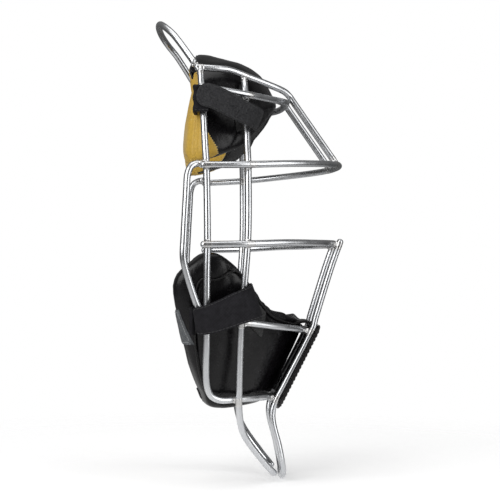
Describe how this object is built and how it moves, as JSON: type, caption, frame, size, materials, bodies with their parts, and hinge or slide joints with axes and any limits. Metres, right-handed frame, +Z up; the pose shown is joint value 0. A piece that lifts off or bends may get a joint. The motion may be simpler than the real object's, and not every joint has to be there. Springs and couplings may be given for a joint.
{
  "type": "wire face mask",
  "caption": "Welded wire face mask for a baseball catcher or umpire, with strapped-in forehead and chin pads, ear guards, crown loop and throat guard.",
  "frame": {"origin": "on the wearer's mid-plane, in the plane of the outer side bars, level with the base of the nose", "axes": "+X forwards out of the mask, +Y to the wearer's left, +Z up"},
  "size_m": [0.1384, 0.1786, 0.3361],
  "materials": {
    "polished_steel": "polished, with bright weld beads",
    "tan_leather": "soft matt, creased",
    "black_leather": "smooth, semi-gloss",
    "foam": "open-cell foam",
    "strap_fabric": "brushed loop pile",
    "hook_fabric": "hook tape",
    "label_fabric": "woven patch"
  },
  "bodies": {
    "cage": {"crown_loop": "polished_steel", "top_rail_right": "polished_steel", "top_rail_left": "polished_steel", "perimeter_rail": "polished_steel", "side_bar_right": "polished_steel", "side_bar_left": "polished_steel", "brow_bar": "polished_steel", "upper_eye_bar": "polished_steel", "lower_eye_bar": "polished_steel", "ear_guard_right": "polished_steel", "ear_guard_left": "polished_steel", "mouth_bar": "polished_steel", "front_throat_loop": "polished_steel", "forehead_pad_face": "tan_leather", "forehead_pad_core": "foam", "forehead_pad_back": "black_leather", "chin_pad_face": "black_leather", "chin_pad_core": "foam", "chin_pad_back": "black_leather", "chin_pad_label": "label_fabric", "chin_flap_neck": "black_leather", "upper_strap_anchor_right": "strap_fabric", "upper_strap_anchor_left": "strap_fabric", "lower_strap_anchor_right": "strap_fabric", "lower_strap_anchor_left": "strap_fabric", "upper_hook_patch_right": "hook_fabric", "upper_hook_patch_left": "hook_fabric", "lower_hook_patch_right": "hook_fabric", "lower_hook_patch_left": "hook_fabric"},
    "upper_strap_right": {"upper_strap_right": "strap_fabric"},
    "upper_strap_left": {"upper_strap_left": "strap_fabric"},
    "lower_strap_right": {"lower_strap_right": "strap_fabric"},
    "lower_strap_left": {"lower_strap_left": "strap_fabric"},
    "chin_flap": {"chin_flap": "black_leather"}
  },
  "joints": [
    {"name": "upper_strap_right_fold", "type": "hinge", "parent": "cage", "child": "upper_strap_right", "pos_m": [-0.0086, -0.078, 0.128], "axis": [0, 0, -1], "range_deg": [0, 110]},
    {"name": "upper_strap_left_fold", "type": "hinge", "parent": "cage", "child": "upper_strap_left", "pos_m": [-0.0086, 0.078, 0.128], "axis": [0, 0, 1], "range_deg": [0, 110]},
    {"name": "lower_strap_right_fold", "type": "hinge", "parent": "cage", "child": "lower_strap_right", "pos_m": [-0.01, -0.0822, -0.026], "axis": [0, 0, -1], "range_deg": [0, 110]},
    {"name": "lower_strap_left_fold", "type": "hinge", "parent": "cage", "child": "lower_strap_left", "pos_m": [-0.01, 0.0822, -0.026], "axis": [0, 0, 1], "range_deg": [0, 110]},
    {"name": "chin_flap_fold", "type": "hinge", "parent": "cage", "child": "chin_flap", "pos_m": [0.0823, 0, -0.0316], "axis": [0, -1, 0], "range_deg": [0, 120]}
  ]
}
